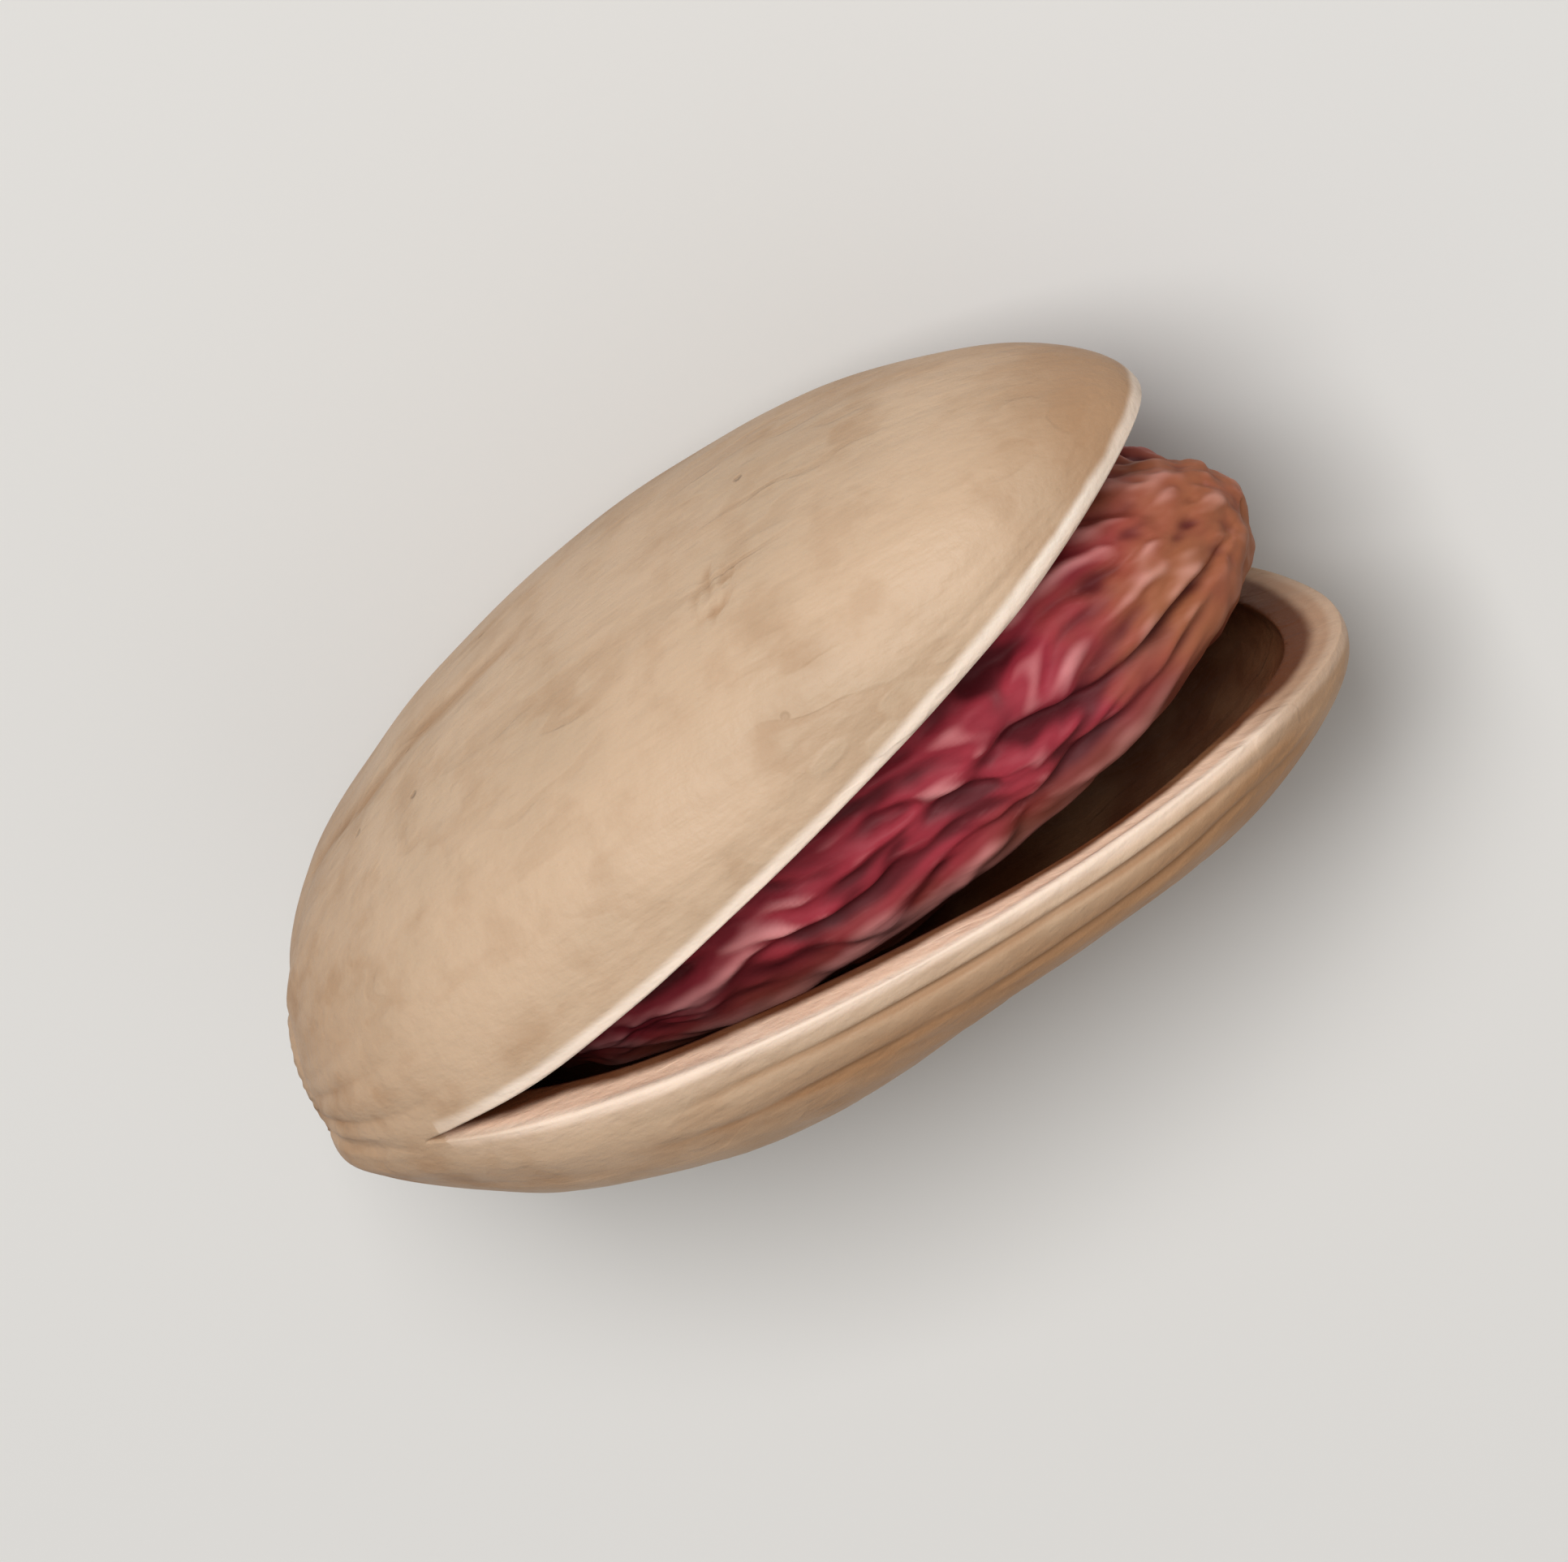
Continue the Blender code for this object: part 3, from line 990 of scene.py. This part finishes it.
def kernel_material(colours):
    """The papery skin: purple-red, creases in painted shade, ridges with painted highlights, browner at
    its blunt end.
    """
    paint = Paint("kernel_skin")
    along = paint.attribute("along")
    turn = paint.attribute("turn")
    fold = paint.attribute("fold")
    patches = paint.clouds(330.0, 3.0)
    flecks = paint.clouds(1400.0, 3.0, (0.45, 1.0, 1.0))
    veins = paint.clouds(2600.0, 3.0, (0.22, 1.0, 1.0))

    # Red skin, browner on the flank and brown at the blunt end.
    skin = paint.mix(paint.step(flecks, 0.35, 0.75) * 0.35, colours.skin_red, colours.skin_dark_and_crease_shade)
    flank = paint.step(turn + (patches - 0.5) * 0.8, -0.15, -0.75)
    skin = paint.mix(flank * 0.92, skin, colours.skin_flank)
    brown = paint.step(along + (patches - 0.5) * 0.45, 0.80, 1.0)
    skin = paint.mix(brown * 0.9, skin, colours.skin_brown)

    # Painted highlights on the ridges, painted shade in the creases, and a few pale veins.
    ridge_highlight = paint.step(fold, 0.54, 0.98) * (0.92 - flecks * 0.45)
    ridge_highlight = ridge_highlight * (1.0 - flank * 0.75) * (1.0 - brown * 0.35)
    highlight_colour = paint.mix((brown + flank * 0.7) * 0.45, colours.skin_pale_and_highlight, colours.rim)
    skin = paint.mix(ridge_highlight, skin, highlight_colour)
    # Painted shade in the creases.
    skin = paint.mix(paint.step(fold, 0.48, 0.05) * 0.9, skin, colours.skin_dark_and_crease_shade)
    skin = paint.mix(paint.step(veins, 0.58, 0.8) * 0.12, skin, colours.skin_pale_and_highlight)

    relief = paint.bump(veins * 0.6 + flecks * 0.6, 0.00007, 0.6)
    rough = 0.52 + paint.step(flecks, 0.3, 0.75) * 0.2
    paint.set(Base_Color=skin, Roughness=rough, Normal=relief, Specular_IOR_Level=0.20)
    paint.set(Subsurface_Weight=0.08, Subsurface_Radius=(0.7, 0.25, 0.2), Subsurface_Scale=0.0006)
    return paint.material


def floor_material(colours):
    """A plain pale matt floor."""
    paint = Paint("pale_floor")
    paint.set(Base_Color=tuple(colours.floor), Roughness=0.85, Specular_IOR_Level=0.2)
    return paint.material


# ---------------------------------------------------------------- the stage


# Lengths in metres.
FLOOR_SIZE = 1.2

VIEW_AZIMUTH = math.radians(118.1)
VIEW_ELEVATION = math.radians(69.4)
VIEW_ROLL = math.radians(-151.3)  # turns the camera so that the tips point up and to the right
VIEW_DISTANCE = 0.30
NEAREST_SEEN = 0.001
LENS = 400.0  # in mm

# The lights: their directions in degrees, and their sizes, distances and powers.
LIGHTS = {
    "key_light": {"azimuth": 165.0, "elevation": 68.0, "distance": 0.30, "size": 0.16, "power": 0.77},
    "fill_light": {"azimuth": 30.0, "elevation": 45.0, "distance": 0.35, "size": 0.30, "power": 0.12},
}
ROOM_LIGHT = (1.0, 0.98, 0.95, 1.0)
ROOM_STRENGTH = 0.31


def away(azimuth, elevation, distance):
    """The way from the nut to a point at this azimuth, elevation and distance from it."""
    flat = math.cos(elevation) * distance
    return Vector((math.sin(azimuth) * flat, -math.cos(azimuth) * flat, math.sin(elevation) * distance))


def add_soft_light(name, target, azimuth, elevation, distance, size, power):
    """A square panel of light that faces the target. Its angles are in degrees."""
    place = target + away(math.radians(azimuth), math.radians(elevation), distance)
    facing = (target - place).to_track_quat("-Z", "Y").to_euler()
    bpy.ops.object.light_add(type="AREA", location=place, rotation=facing)
    light = bpy.context.active_object
    light.name = name
    light.data.shape = "SQUARE"
    light.data.size = size
    light.data.energy = power


def add_floor(colours):
    deselect_all()
    bpy.ops.mesh.primitive_plane_add(size=FLOOR_SIZE, location=(0, 0, 0))
    floor = bpy.context.active_object
    floor.name = "floor"
    floor.data.materials.append(floor_material(colours))


def add_camera(scene, target):
    """A camera that looks at the target from the view's direction, rolled so that the tips point up."""
    place = target + away(VIEW_AZIMUTH, VIEW_ELEVATION, VIEW_DISTANCE)
    facing = (target - place).to_track_quat("-Z", "Y") @ Quaternion((0.0, 0.0, 1.0), VIEW_ROLL)
    bpy.ops.object.camera_add(location=place, rotation=facing.to_euler())
    scene.camera = bpy.context.active_object
    scene.camera.data.lens = LENS
    scene.camera.data.clip_start = NEAREST_SEEN


def light_room(scene):
    """Light of one colour from all round."""
    scene.world = bpy.data.worlds.new("pale_room")
    scene.world.use_nodes = True
    sky = scene.world.node_tree.nodes["Background"]
    sky.inputs["Color"].default_value = ROOM_LIGHT
    sky.inputs["Strength"].default_value = ROOM_STRENGTH


class PISTACHIO_OT_set_stage(bpy.types.Operator):
    """Adds the pale floor, the soft lights and the camera"""

    bl_idname = "pistachio.set_stage"
    bl_label = "Set Stage"

    def execute(self, context):
        scene = context.scene
        low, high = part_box("shell")
        target = (Vector(low) + Vector(high)) / 2.0
        add_floor(scene.nut_colours)
        for name, settings in LIGHTS.items():
            add_soft_light(name, target, **settings)
        add_camera(scene, target)
        light_room(scene)
        scene.view_settings.view_transform = "Standard"
        return {"FINISHED"}


# ---------------------------------------------------------------- the add-on


class PISTACHIO_PT_tools(bpy.types.Panel):
    """Lists the sizes, the colours and the steps that make the nut"""

    bl_idname = "PISTACHIO_PT_tools"
    bl_label = "Pistachio in Shell"
    bl_space_type = "VIEW_3D"
    bl_region_type = "UI"
    bl_category = "Pistachio"

    def draw(self, context):
        for group in (context.scene.nut_sizes, context.scene.nut_colours):
            box = self.layout.box()
            for name in group.__annotations__:
                box.prop(group, name)
        for operator in OPERATORS:
            self.layout.operator(operator.bl_idname)


OPERATORS = (PISTACHIO_OT_add_shell, PISTACHIO_OT_add_kernel, PISTACHIO_OT_set_stage)
CLASSES = (NutSizes, NutColours, *OPERATORS, PISTACHIO_PT_tools)


def register():
    for made in CLASSES:
        bpy.utils.register_class(made)
    bpy.types.Scene.nut_sizes = PointerProperty(type=NutSizes)
    bpy.types.Scene.nut_colours = PointerProperty(type=NutColours)


def unregister():
    del bpy.types.Scene.nut_colours
    del bpy.types.Scene.nut_sizes
    for made in reversed(CLASSES):
        bpy.utils.unregister_class(made)


def main():
    register()
    bpy.ops.pistachio.add_shell()
    bpy.ops.pistachio.add_kernel()
    bpy.ops.pistachio.set_stage()


if __name__ == "__main__":
    main()
